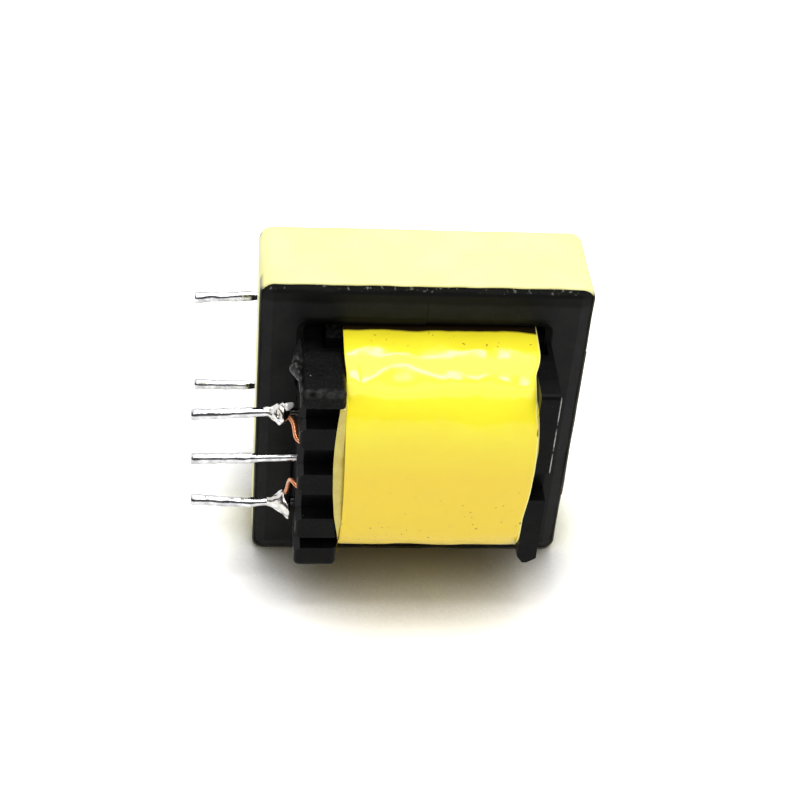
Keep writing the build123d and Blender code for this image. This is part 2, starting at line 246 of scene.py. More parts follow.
def surface(name: str, points: Array, attributes: dict[str, Array] | None = None,
            ring: bool = False) -> bpy.types.Object:
    """Turn a grid of places into a closed mesh object with smooth faces.

    Columns always join their last to their first. Rows join too for a ring, and otherwise each end
    closes in a fan round the middle of its row. Faces point outwards: they are turned round where
    the sum of the cone volumes under them comes out negative.

    Args:
        name: Name of the object and its mesh.
        points: Places in millimetres, of shape (rows, columns, 3).
        attributes: Values to keep on the mesh, each of shape (rows, columns).
        ring: Whether the last row joins the first.

    Returns:
        The new object, in the scene.
    """
    rows, columns = points.shape[:2]
    number = np.arange(rows * columns).reshape(rows, columns)
    following = np.roll(number, -1, axis=1)
    first, second = (number, following) if ring else (number[:-1], following[:-1])
    next_first = np.roll(number, -1, axis=0) if ring else number[1:]
    next_second = np.roll(following, -1, axis=0) if ring else following[1:]
    quads = np.stack([first, second, next_second, next_first], axis=-1).reshape(-1, 4)
    places = points.reshape(-1, 3) * MM
    fans = np.empty((0, 3), dtype=int)
    if not ring:
        poles = np.full((2, columns), rows * columns) + [[0], [1]]
        low = np.stack([following[0], number[0], poles[0]], axis=-1)
        high = np.stack([number[-1], following[-1], poles[1]], axis=-1)
        places = np.concatenate([places, points[[0, -1]].mean(axis=1) * MM])
        fans = np.concatenate([low, high])
    halves = np.concatenate([quads[:, [0, 1, 2]], quads[:, [0, 2, 3]], fans])
    a, b, c = (places[halves[:, corner]] for corner in range(3))
    if np.einsum("ij,ij->i", a, np.cross(b, c)).sum() < 0.0:
        quads, fans = quads[:, ::-1], fans[:, ::-1]

    mesh = bpy.data.meshes.new(name)
    mesh.vertices.add(len(places))
    mesh.vertices.foreach_set("co", places.astype(np.float32).ravel())
    corners = np.concatenate([quads.ravel(), fans.ravel()])
    mesh.loops.add(len(corners))
    mesh.loops.foreach_set("vertex_index", corners.astype(np.int32))
    starts = np.concatenate([np.arange(len(quads)) * 4, quads.size + np.arange(len(fans)) * 3])
    mesh.polygons.add(len(starts))
    mesh.polygons.foreach_set("loop_start", starts.astype(np.int32))
    mesh.polygons.foreach_set("use_smooth", np.ones(len(starts), dtype=bool))
    mesh.update(calc_edges=True)
    mesh.validate()
    for label, values in (attributes or {}).items():
        padded = np.concatenate([values.ravel(), np.zeros(len(places) - values.size)])
        layer = mesh.attributes.new(label, "FLOAT", "POINT")
        layer.data.foreach_set("value", padded.astype(np.float32))
    obj = bpy.data.objects.new(name, mesh)
    bpy.context.collection.objects.link(obj)
    return obj


def dress(obj: bpy.types.Object, material: bpy.types.Material) -> None:
    """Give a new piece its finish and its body.

    Args:
        obj: The piece.
        material: Its finish.
    """
    obj.data.materials.clear()
    obj.data.materials.append(material)
    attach(obj, BODY)
    LOG.info("piece %s: %d faces", obj.name, len(obj.data.polygons))


# Finishes


NOISE_SPAN = (0.3, 0.7)
PATCH_SPAN = (0.35, 0.65)
GLOSS_PER_MOTTLE = 2.3
VARNISH_NOISE = (2.1, 5.0, 0.65)


class NodeSheet:
    """Short way to lay out the nodes of one tree, over the object's own coordinates."""

    def __init__(self, tree: bpy.types.NodeTree) -> None:
        """Work on a tree, with coordinates of its own."""
        self.tree = tree
        self.place = self.add("ShaderNodeTexCoord").outputs

    def find(self, kind: str) -> bpy.types.Node:
        """Return the tree's first node of a type."""
        return next(node for node in self.tree.nodes if node.type == kind)

    def add(self, kind: str, **settings: object) -> bpy.types.Node:
        """Add a node.

        Args:
            kind: Blender's name of the node type.
            **settings: Its properties by name.

        Returns:
            The node.
        """
        node = self.tree.nodes.new(kind)
        for label, value in settings.items():
            setattr(node, label, value)
        return node

    def join(self, source: Socket, target: Socket) -> None:
        """Link an output to an input."""
        self.tree.links.new(source, target)

    def feed(self, value: Socket | float | Triple, target: Socket) -> None:
        """Link an output to an input, or set the input.

        Args:
            value: Output, number or colour.
            target: The input.
        """
        if isinstance(value, (int, float)):
            target.default_value = value
        elif isinstance(value, tuple):
            target.default_value = (*value, 1.0)
        else:
            self.join(value, target)

    def math(self, kind: str, *values: Socket | float) -> Socket:
        """Return the result of a math node.

        Args:
            kind: Name of the operation.
            *values: Sockets and plain numbers.

        Returns:
            The result.
        """
        node = self.add("ShaderNodeMath", operation=kind)
        for target, value in zip(node.inputs, values):
            self.feed(value, target)
        return node.outputs["Value"]

    def product(self, first: Socket, *others: Socket | float) -> Socket:
        """Return the product of a socket and further sockets and plain numbers."""
        for value in others:
            first = self.math("MULTIPLY", first, value)
        return first

    def remap(self, value: Socket, low: float, high: float, to_low: float = 0.0,
              to_high: float = 1.0, kind: str = "LINEAR") -> Socket:
        """Return a value carried from one range to another, held at its ends.

        Args:
            value: The value.
            low: Value that gives to_low.
            high: Value that gives to_high, on whichever side it lies.
            to_low: Result at low.
            to_high: Result at high.
            kind: Shape of the rise.

        Returns:
            The result.
        """
        node = self.add("ShaderNodeMapRange", clamp=True, interpolation_type=kind)
        labels = ("Value", "From Min", "From Max", "To Min", "To Max")
        for label, number in zip(labels, (value, low, high, to_low, to_high)):
            self.feed(number, node.inputs[label])
        return node.outputs["Result"]

    def noise(self, per_mm: float, detail: float = 3.0, roughness: float = 0.55) -> Socket:
        """Return a noise pattern.

        Args:
            per_mm: Number of cells to the millimetre.
            detail: Number of finer layers.
            roughness: Strength of the finer layers.

        Returns:
            The pattern.
        """
        node = self.add("ShaderNodeTexNoise")
        self.join(self.place["Object"], node.inputs["Vector"])
        for label, value in (("Scale", per_mm / MM), ("Detail", detail), ("Roughness", roughness)):
            node.inputs[label].default_value = value
        return node.outputs["Fac"]

    def axis(self, label: str) -> Socket:
        """Return the Object coordinate along an axis, in millimetres."""
        node = self.add("ShaderNodeSeparateXYZ")
        self.join(self.place["Object"], node.inputs["Vector"])
        return self.math("MULTIPLY", node.outputs[label], 1.0 / MM)

    def blend(self, share: Socket, low: Triple | Socket, high: Triple | Socket) -> Socket:
        """Mix two colours.

        Args:
            share: Share of the second colour.
            low: First colour.
            high: Second colour.

        Returns:
            The mixed colour.
        """
        node = self.add("ShaderNodeMix", data_type="RGBA")
        self.join(share, node.inputs["Factor"])
        for label, value in (("A", low), ("B", high)):
            self.feed(value, next(s for s in node.inputs if s.name == label and s.type == "RGBA"))
        return next(s for s in node.outputs if s.type == "RGBA")

    def relief(self, height: Socket, depth_mm: float) -> None:
        """Bump the surface by a height pattern.

        Args:
            height: The pattern.
            depth_mm: Depth of the pattern.
        """
        node = self.add("ShaderNodeBump")
        node.inputs["Strength"].default_value = 1.0
        node.inputs["Distance"].default_value = depth_mm * MM
        self.join(height, node.inputs["Height"])
        self.join(node.outputs["Normal"], self.find("BSDF_PRINCIPLED").inputs["Normal"])


@dataclass(frozen=True)
class Reach:
    """Share that is 0 at a coordinate's start and 1 at its full, in millimetres.

    A coordinate in bars is its distance from the axis's middle. A wave of noise, of a density to
    the millimetre, a detail and a height, makes its edge uneven.
    """

    axis: str
    start: float
    full: float
    wave: Triple | None = None

    def share(self, sheet: NodeSheet) -> Socket:
        """Read the coordinate.

        Args:
            sheet: The material's nodes.

        Returns:
            The share.
        """
        place = sheet.axis(self.axis.strip("|"))
        if self.axis.startswith("|"):
            place = sheet.math("ABSOLUTE", place)
        if self.wave:
            per_mm, detail, height = self.wave
            swing = sheet.remap(sheet.noise(per_mm, detail), *NOISE_SPAN, -height, height)
            place = sheet.math("ADD", place, swing)
        return sheet.remap(place, self.start, self.full)


@dataclass(frozen=True)
class Specks:
    """Share that is 0 where noise is at its start and 1 where it is at its full."""

    per_mm: float
    detail: float
    start: float
    full: float

    def share(self, sheet: NodeSheet) -> Socket:
        """Read the noise."""
        return sheet.remap(sheet.noise(self.per_mm, self.detail), self.start, self.full)


@dataclass(frozen=True)
class Rim:
    """Share that is 1 on the piece's rim and 0 inside it, from a distance kept on the mesh."""

    start: float
    full: float

    def share(self, sheet: NodeSheet) -> Socket:
        """Read the distance."""
        kept = sheet.add("ShaderNodeAttribute", attribute_name="rim").outputs["Fac"]
        return sheet.remap(kept, self.start, self.full)


Mask = Reach | Specks | Rim | float


def cover(sheet: NodeSheet, masks: tuple[Mask, ...]) -> Socket:
    """Return the product of masks, which may end in a plain number."""
    return sheet.product(*(mask if isinstance(mask, float) else mask.share(sheet)
                           for mask in masks))


@dataclass(frozen=True)
class Layer:
    """Colour laid over a finish by the product of its masks, or of the others if that is more."""

    colour: Triple
    masks: tuple[Mask, ...]
    others: tuple[Mask, ...] = ()

    def lay(self, sheet: NodeSheet, body: Socket) -> Socket:
        """Lay the colour over the body.

        Args:
            sheet: The material's nodes.
            body: Colour beneath.

        Returns:
            The colour.
        """
        share = cover(sheet, self.masks)
        if self.others:
            share = sheet.math("MAXIMUM", share, cover(sheet, self.others))
        return sheet.blend(share, body, self.colour)


@dataclass(frozen=True)
class Finish:
    """Surface with two mingled colours, layers over them, an uneven gloss and a fine relief."""

    name: str
    colour: Triple
    mottle: Triple
    roughness: float
    mottle_per_mm: float = 0.6
    roughness_swing: float = 0.05
    metallic: float = 0.0
    specular: float = 0.5
    coat: float = 0.0
    coat_roughness: float = 0.1
    coat_ior: float = 1.5
    grain_per_mm: float = 6.0
    grain_depth: float = 0.002
    layers: tuple[Layer, ...] = ()

    def material(self) -> bpy.types.Material:
        """Build the material: even values on the shader's sockets, patterns from noise.

        Returns:
            The material.
        """
        material = bpy.data.materials.new(self.name)
        material.use_nodes = True
        sheet = NodeSheet(material.node_tree)
        shader = sheet.find("BSDF_PRINCIPLED").inputs
        for label, value in (("Metallic", self.metallic), ("Specular IOR Level", self.specular),
                             ("Coat Weight", self.coat), ("Coat Roughness", self.coat_roughness),
                             ("Coat IOR", self.coat_ior)):
            shader[label].default_value = value
        body = self.colouring(sheet)
        for layer in self.layers:
            body = layer.lay(sheet, body)
        sheet.join(body, shader["Base Color"])
        smooth, matt = self.roughness - self.roughness_swing, self.roughness + self.roughness_swing
        gloss = sheet.noise(self.mottle_per_mm * GLOSS_PER_MOTTLE)
        gloss = sheet.remap(gloss, *NOISE_SPAN, smooth, matt)
        sheet.join(gloss, shader["Roughness"])
        sheet.relief(self.relief_pattern(sheet), self.grain_depth)
        return material

    def colouring(self, sheet: NodeSheet) -> Socket:
        """Mingle the two colours by broad noise."""
        patches = sheet.remap(sheet.noise(self.mottle_per_mm), *PATCH_SPAN)
        return sheet.blend(patches, self.colour, self.mottle)

    def relief_pattern(self, sheet: NodeSheet) -> Socket:
        """Return the height pattern of the fine grain."""
        return sheet.noise(self.grain_per_mm)


@dataclass(frozen=True)
class VarnishedMoulding(Finish):
    """Black moulding whose upper blocks are rough with dried varnish."""

    varnish: tuple[Mask, ...] = (Reach("Z", 19.3, 19.8), Reach("X", -5.0, -6.0), 34.0)

    def relief_pattern(self, sheet: NodeSheet) -> Socket:
        """Add rough lumps to the fine grain, above a height on the pins' side."""
        lumps = sheet.product(sheet.noise(*VARNISH_NOISE), cover(sheet, self.varnish))
        return sheet.math("ADD", super().relief_pattern(sheet), lumps)


@dataclass(frozen=True)
class FluxedTin(Finish):
    """Tinned pin whose root is brown with burnt flux."""

    flux: Reach = Reach("X", -10.05, -9.90)

    def material(self) -> bpy.types.Material:
        """Build the material, and take the metal away where the flux lies.

        Returns:
            The material.
        """
        material = super().material()
        sheet = NodeSheet(material.node_tree)
        metal = sheet.math("SUBTRACT", 1.0, self.flux.share(sheet))
        sheet.join(metal, sheet.find("BSDF_PRINCIPLED").inputs["Metallic"])
        return material


@dataclass(frozen=True)
class WoundWire(Finish):
    """Layer of enamelled turns that lie side by side along X."""

    turn_mm: float = 0.34
    valley: Pair = (-1.0, 0.2)

    def turns(self, sheet: NodeSheet) -> Socket:
        """Return 1 along each turn's crown and -1 between turns: a cosine of the place along X."""
        return sheet.math("COSINE", sheet.product(sheet.axis("X"), 2.0 * np.pi / self.turn_mm))

    def colouring(self, sheet: NodeSheet) -> Socket:
        """Paint shade into the valleys between turns."""
        return sheet.blend(sheet.remap(self.turns(sheet), *self.valley), self.mottle, self.colour)

    def relief_pattern(self, sheet: NodeSheet) -> Socket:
        """Raise each turn."""
        return sheet.remap(self.turns(sheet), -1.0, 1.0)


TINNED = {"colour": (0.86, 0.86, 0.87), "mottle": (0.52, 0.52, 0.54), "roughness": 0.13,
          "metallic": 1.0, "mottle_per_mm": 2.0, "grain_per_mm": 1.8, "grain_depth": 0.035}
UNEVEN = (0.5, 2.0, 0.10)
PAINTED_SHADE_AND_JOINT = (0.0015, 0.0017, 0.0012)
TAPE_TOP = Reach("Z", 25.35, 25.0)

# Bright grains, a painted dark reflection near the top of the yoke's face and painted shade along
# the window's upper edge, the joint's line, and chips on the upper edge.
FERRITE = Finish(
    "ferrite_grey", (0.0075, 0.0078, 0.0080), (0.0115, 0.0115, 0.0110), 0.42, specular=0.11,
    grain_per_mm=5.0, grain_depth=0.003, layers=(
        Layer((0.06, 0.06, 0.063), (Specks(9.0, 2.0, 0.68, 0.76),)),
        # Painted dark reflection in a band near the yoke's top edge, and painted shade in a band
        # along the window's upper edge.
        Layer(PAINTED_SHADE_AND_JOINT,
              (Reach("Z", 23.85, 24.15, UNEVEN), Reach("Z", 25.12, 24.95, UNEVEN), 0.93),
              (Reach("Z", 21.7, 21.9, UNEVEN), Reach("Z", 22.85, 22.65, UNEVEN),
               Reach("|X|", 9.4, 8.4), 0.93)),
        Layer(PAINTED_SHADE_AND_JOINT, (Reach("|X|", 0.07, 0.03), 0.85)),
        Layer((0.30, 0.30, 0.26), (Specks(3.8, 3.0, 0.60, 0.67), Specks(0.35, 3.0, 0.42, 0.50),
                                   Reach("Z", 24.98, 25.2, UNEVEN)))))
# Dust, a painted highlight along the front top edge of the top blocks, and a painted highlight
# along the far flange's outer edge.
MOULDING = VarnishedMoulding(
    "phenolic_black", (0.0030, 0.0030, 0.0032), (0.0048, 0.0048, 0.0050), 0.30, specular=0.065,
    grain_per_mm=3.0, grain_depth=0.004, layers=(
        Layer((0.45, 0.45, 0.43), (Specks(2.7, 2.0, 0.775, 0.79),)),
        # Painted highlight: a broken grey line along the top blocks' front top edge.
        Layer((0.030, 0.030, 0.029), (Reach("|Y|", 9.25, 9.50), Reach("Z", 20.45, 20.65),
                                      Reach("X", -5.0, -6.0), Specks(2.4, 4.0, 0.36, 0.60))),
        # Painted highlight: a pale glint along the far flange's outer front edge.
        Layer((0.50, 0.50, 0.48), (Reach("X", 9.01, 9.07), Reach("|Y|", 9.78, 9.86),
                                   Reach("Z", 13.9, 14.1), Specks(0.8, 3.0, 0.40, 0.55)))))
# Darker along both cut edges and more broadly on the front of the pins' side, but not along the
# top.
CORE_TAPE = Finish(
    "pale_polyester_tape", (0.90, 0.88, 0.405), (0.86, 0.83, 0.35), 0.42, mottle_per_mm=0.25,
    specular=0.4, grain_per_mm=1.2, grain_depth=0.006, layers=(
        Layer((0.030, 0.026, 0.012), (Reach("|Y|", 2.98, 3.12), TAPE_TOP),
              (Reach("Y", -1.7, -2.3, (0.45, 3.0, 0.35)), Reach("X", -11.3, -11.6), TAPE_TOP,
               0.75)),))
# Painted light: the upper film lighter and yellower and the lower front darker and more orange. A
# few specks of dust, painted shade in a dark strip beside the core, and a painted highlight along
# the cut rim of the right half.
YELLOW_FILM = Finish(
    "yellow_film", (0.98, 0.89, 0.035), (0.97, 0.83, 0.032), 0.45, mottle_per_mm=0.25,
    specular=0.0, coat=1.0, coat_roughness=0.12, grain_per_mm=1.6, grain_depth=0.004, layers=(
        # Painted shade: the lower front darker and more orange than the brighter top.
        Layer((0.92, 0.67, 0.034), (Reach("Z", 18.5, 13.5),)),
        Layer((0.22, 0.13, 0.015), (Specks(3.2, 2.0, 0.69, 0.73), Reach("|Y|", 5.6, 5.0)),
              (Specks(3.2, 2.0, 0.69, 0.73), Reach("Z", 14.0, 10.0))),
        # Painted shade: a dark strip on the film right beside the core.
        Layer((0.017, 0.010, 0.004), (Reach("|Y|", 3.78, 3.56, (0.25, 1.0, 0.20)),)),
        # Painted highlight: a pale line along the film's right cut edge.
        Layer((0.97, 0.94, 0.36), (Rim(0.10, 0.04), Reach("X", 0.0, 1.0)))))
UNDER_FILM = Finish("pale_film", (0.67, 0.58, 0.11), (0.57, 0.45, 0.06), 0.35,
                    mottle_per_mm=0.9, coat=0.5, grain_per_mm=2.0, grain_depth=0.01)
TIN = Finish("bright_tin", **TINNED)
FLUXED_TIN = FluxedTin("fluxed_tin", **TINNED,
                       layers=(Layer((0.010, 0.005, 0.003), (FluxedTin.flux,)),))
SOLDER = Finish("soft_solder", (0.88, 0.88, 0.89), (0.62, 0.58, 0.50), 0.16, metallic=1.0,
                mottle_per_mm=1.5, grain_per_mm=1.8, grain_depth=0.07)
# Painted reflection: a pale, half-metallic copy of the solder that stays light where real solder
# would mirror the lamps.
SOLDER_PAINTED_REFLECTION = Finish("bright_solder", (0.93, 0.93, 0.93), (0.86, 0.84, 0.80), 0.22,
                       metallic=0.30, mottle_per_mm=1.5, grain_per_mm=1.8, grain_depth=0.03)
COPPER = Finish("enamelled_copper", (0.80, 0.33, 0.14), (0.62, 0.20, 0.07), 0.28, metallic=0.75,
                mottle_per_mm=1.5, coat=0.6, grain_per_mm=1.5, grain_depth=0.003)
# Its second colour is the painted shade in the valleys between turns.
TURNS = WoundWire("copper_turns", (0.68, 0.26, 0.10), (0.20, 0.05, 0.02), 0.30, metallic=0.5,
                  coat=0.5, grain_depth=0.05)
CLEAR_FILM = Finish("clear_film", (0.80, 0.60, 0.30), (0.70, 0.48, 0.22), 0.30, coat=0.6)
VARNISH = Finish("dried_varnish", (0.006, 0.006, 0.006), (0.013, 0.012, 0.012), 0.34,
                 specular=0.25, grain_per_mm=2.6, grain_depth=0.04)
TABLE_WHITE = Finish("table_white", (0.98, 0.98, 0.975), (0.98, 0.98, 0.975), 0.9, specular=0.0,
                     grain_depth=0.0001)


def dress_node(node: str, finish: Finish) -> None:
    """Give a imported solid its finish.

    Args:
        node: Name of the solid.
        finish: Its finish.
    """
    obj = bpy.data.objects[node]
    material = finish.material()
    for place in obj.material_slots:
        place.material = material
    if not obj.material_slots:
        obj.data.materials.append(material)
    LOG.info("solid %s: %s", node, finish.name)


# Coil


@dataclass
class CoilSection:
    """Outline of the wound coil across its axis: a superellipse, walked by its own length.

    Its y is half_y times cos t, and its z is half_z times sin t, where each wave keeps its sign
    and its size is raised to 2 / power.
    """

    half_y: float = 10.3
    half_z: float = 9.0
    power: float = 3.5
    count: int = 420
    samples: int = 20001

    def outline(self) -> tuple[Array, Array, Array]:
        """Take even steps round the outline, from the middle of the back, over the top.

        Returns:
            Places (y, z), outward directions (y, z) and the length run to each place.
        """
        turn = np.linspace(0.0, 2.0 * np.pi, self.samples)
        wave = np.stack([np.cos(turn), np.sin(turn)], axis=-1)
        curve = (np.array([self.half_y, self.half_z]) * np.sign(wave)
                 * np.abs(wave) ** (2.0 / self.power))
        steps = np.linalg.norm(np.diff(curve, axis=0), axis=1)
        run = np.concatenate([[0.0], np.cumsum(steps)])
        at = np.linspace(0.0, run[-1], self.count, endpoint=False)
        places = np.stack([np.interp(at, run, line) for line in curve.T], axis=-1)
        along = np.roll(places, -1, axis=0) - np.roll(places, 1, axis=0)
        along /= np.linalg.norm(along, axis=1, keepdims=True)
        places[:, 1] += MID_Z
        return places, along[:, ::-1] * [1.0, -1.0], at


@dataclass
class Crease:
    """Soft crease that runs along X over the shoulder of the film and bends the light there.

    Its height is shift / radius times distance times a bell of the distance, which is measured
    round the coil from the crease's own line. Where the film is pressed flat it gains half the
    distance squared over the radius, which cancels the coil's own curve.
    """

    nominal: float
    places: Line
    shifts: Line
    radius: float
    width: float
    ripple: float
    flats: tuple[Pair, ...] = ()
    flat_reach: float = 0.55
    blur: float = 0.12

    def height(self, x: Array, run: Array) -> Array:
        """Return the crease's height.

        Args:
            x: Places along X.
            run: Lengths round the coil from the top's middle.

        Returns:
            Heights.
        """
        shift = smooth_line(self.places, self.shifts, x, self.blur)
        distance = run - self.nominal - shift
        height = shift / self.radius * distance * bell(distance, self.width)
        for middle, spread in self.flats:
            pressed = np.exp(-0.5 * (distance / self.flat_reach) ** 4) * bell(x - middle, spread)
            height = height + 0.5 * distance ** 2 / self.radius * pressed
        return height


@dataclass
class FilmBand:
    """Band of film round the coil, whose sides swell over the rails in front and behind.

    The surface is section(run) plus its outward direction times (level + relief), at x between the
    two side lines. The side lines leave the space between the flanges only where the coil is
    widest and over its top. Lengths that end in _length are usual lengths of random waves.
    """

    name: str
    level: float
    build: float
    finish: Finish
    slot: Slot
    node: str
    heights: Line
    left: Line
    right: Line
    between: Pair = (-5.80, 7.58)
    over_flange: Pair = (-5.92, 8.02)
    over_top: Pair = (8.0, 8.7)
    side_blur: float = 0.35
    wrinkle: float = 0.02
    wrinkle_length: float = 3.4
    wrinkle_scale: Triple = (0.7, 1.0, 1.0)
    fine_share: float = 0.35
    fine_length: float = 1.1
    calm: float = 0.7
    calm_width: float = 1.2
    ripple_length: float = 1.7
    ripple_scale: Triple = (1.0, 0.25, 0.25)
    ripple_width: float = 0.9
    edge_drop: float = 0.06
    edge_width: float = 0.18
    sink: float = 0.0
    sink_rim: Pair = (0.35, 0.9)
    nib: float = 0.0
    nib_x: float = 2.9
    nib_below: float = 7.4
    nib_size: Pair = (0.15, 0.25)
    swell: Pair = (8.9, 9.75)
    clear: float = 9.98
    clear_top: float = 19.58
    clear_low: Pair = (5.2, 5.7)
    clear_fall: float = 0.12
    inner_gap: float = 0.05
    beyond_left: Pair = (0.10, -0.06)
    beyond_right: Pair = (-0.02, 0.10)
    creases: tuple[Crease, ...] = ()
    section: CoilSection = field(default_factory=CoilSection)
    columns: int = 150
    seed: int = 5

    def sides(self, y: Array, z: Array) -> tuple[Array, Array]:
        """Find where the band's two sides run.

        Args:
            y: Place along Y of each step round the coil.
            z: Height of each step.

        Returns:
            The x of the left and of the right side at each step.
        """
        spread = ease(*self.swell, np.abs(y))
        above = ease(*self.over_top, z - MID_Z)
        sides = []
        for line, inside, over in zip((self.left, self.right), self.between, self.over_flange):
            swollen = smooth_line(self.heights, line, z, self.side_blur)
            sides.append(inside + (swollen - inside) * spread + (over - inside) * above)
        return sides[0], sides[1]

    def relief(self, grid: Array, from_top: Array, total: float, rim: Array) -> Array:
        """Return the surface's height over its level: wrinkles, creases, the nib and its sides.

        Args:
            grid: Places, of shape (rows, columns, 3).
            from_top: Length round the coil from the top's middle.
            total: Length all round the coil.
            rim: Distance from the nearer side.

        Returns:
            Heights.
        """
        x = grid[..., 0]
        slow = unevenness(grid * self.wrinkle_scale, self.wrinkle_length, self.seed)
        fine = unevenness(grid, self.fine_length, self.seed + 1)
        relief = self.wrinkle * (slow + self.fine_share * fine)
        for crease in self.creases:
            relief *= 1.0 - self.calm * bell(from_top - crease.nominal, self.calm_width)
        ripple = unevenness(grid * self.ripple_scale, self.ripple_length, self.seed + 2)
        for crease in self.creases:
            near = bell(from_top - crease.nominal, self.ripple_width)
            relief += crease.height(x, from_top) + crease.ripple * ripple * near
        below = from_top - (total / 2.0 - self.nib_below)
        wide, high = self.nib_size
        relief += self.nib * np.exp(-((x - self.nib_x) / wide) ** 2 - (below / high) ** 2)
        relief -= self.edge_drop * np.exp(-rim / self.edge_width)
        return relief - self.sink * ease(*self.sink_rim, rim)

    def over_rails(self, grid: Array, clear: float) -> Array:
        """Draw the sides out in front of the rails: |y| rises to clear beyond the flanges' faces.

        Args:
            grid: Places, of shape (rows, columns, 3).
            clear: Size of y in front of the rails.

        Returns:
            Moved places.
        """
        moved = grid.copy()
        x, y, z = (grid[..., axis] for axis in range(3))
        low, high = self.between
        beyond = np.maximum(ease(*self.beyond_left, x - low), ease(*self.beyond_right, x - high))
        within = ease(self.clear_fall, 0.0, z - self.clear_top) * ease(*self.clear_low, z)
        moved[..., 1] += np.sign(y) * beyond * within * np.maximum(clear - np.abs(y), 0.0)
        return moved

    def build_piece(self) -> None:
        """Build the band as one closed ring: its outer face, its edges and its inner face."""
        places, outward, run = self.section.outline()
        left, right = self.sides(*places.T)
        share = 0.5 - 0.5 * np.cos(np.linspace(0.0, np.pi, self.columns))
        x = left[:, None] + (right - left)[:, None] * share
        total = run[-1] + run[1]
        from_top = (run - total / 4.0)[:, None] + 0.0 * x
        grid = np.stack([x, places[:, :1] + 0.0 * x, places[:, 1:] + 0.0 * x], axis=-1)
        rim = np.minimum(x - left[:, None], right[:, None] - x)
        height = self.level + self.relief(grid, from_top, total, rim)
        outer = self.over_rails(lifted(grid, outward, height), self.clear)
        inner = self.over_rails(lifted(grid, outward, height - self.build),
                                self.clear - self.inner_gap)
        ring = np.concatenate([outer, inner[:, ::-1]], axis=1)
        side = np.concatenate([rim, rim[:, ::-1]], axis=1)
        obj = surface(self.name, ring, {"rim": side}, ring=True)
        dress(obj, self.finish.material())
        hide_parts(self.node)


@dataclass
class Coil:
    """Wound coil: the yellow film, the pale film that shows at its sides, and the windings."""

    upper: Crease = field(default_factory=lambda: Crease(
        nominal=5.79, radius=9.5, width=0.52, ripple=0.006,
        places=(-5.67, -5.02, -3.96, -1.91, -0.57, 0.08, 0.75, 1.24, 1.63, 2.27, 3.08, 3.86, 4.13,
                5.18, 6.43, 6.89, 7.90),
        shifts=(0.22, -0.24, -0.50, -0.68, -0.50, -0.55, -0.76, -0.67, -0.21, -0.13, -0.42, -0.44,
                -0.17, -0.76, -0.26, 0.10, 0.03)))
    lower: Crease = field(default_factory=lambda: Crease(
        nominal=7.77, radius=5.6, width=0.95, ripple=0.008,
        flats=((-5.05, 0.35), (1.9, 0.6), (6.5, 0.7)),
        places=(-5.30, -5.08, -4.74, -4.04, -2.97, -2.40, -1.41, -0.44, 0.39, 1.09, 1.25, 2.79,
                3.42, 4.14, 4.98, 5.90, 6.39, 7.32),
        shifts=(-0.10, -0.05, 0.45, 0.08, -0.63, -0.88, -0.89, -0.43, -0.07, 0.11, -0.25, -0.10,
                0.03, -0.25, 0.01, 0.14, 0.28, 0.19)))

    def build(self) -> None:
        """Build both films and dress the layers beneath."""
        FilmBand("winding_film", level=0.0, build=0.12, finish=YELLOW_FILM, slot=Slot.YELLOW_TAPE,
                 node="winding_outer_wrap", heights=(6.0, 7.4, 9.7, 12.2, 14.7, 17.2, 19.1),
                 left=(-5.70, -5.68, -5.64, -5.66, -5.72, -5.78, -5.84),
                 right=(7.58, 7.62, 7.58, 7.84, 7.92, 7.84, 7.60),
                 creases=(self.upper, self.lower), nib=0.32).build_piece()
        FilmBand("winding_under_film", level=-0.17, build=0.12, finish=UNDER_FILM,
                 slot=Slot.PALE_TAPE, node="winding_underwrap",
                 heights=(6.0, 7.4, 9.6, 12.0, 14.4, 16.2, 18.1, 19.7),
                 left=(-5.66, -5.84, -6.22, -6.42, -6.52, -6.50, -6.40, -6.27),
                 right=(7.50, 7.50, 7.50, 7.62, 7.90, 8.00, 7.84, 7.62), wrinkle=0.012,
                 edge_drop=0.0, sink=0.16, swell=(8.0, 8.5), seed=9).build_piece()
        for node, finish in (("primary_winding", TURNS), ("secondary_winding", TURNS),
                             ("winding_insulation", CLEAR_FILM)):
            dress_node(node, finish)


# Pins, solder and leads


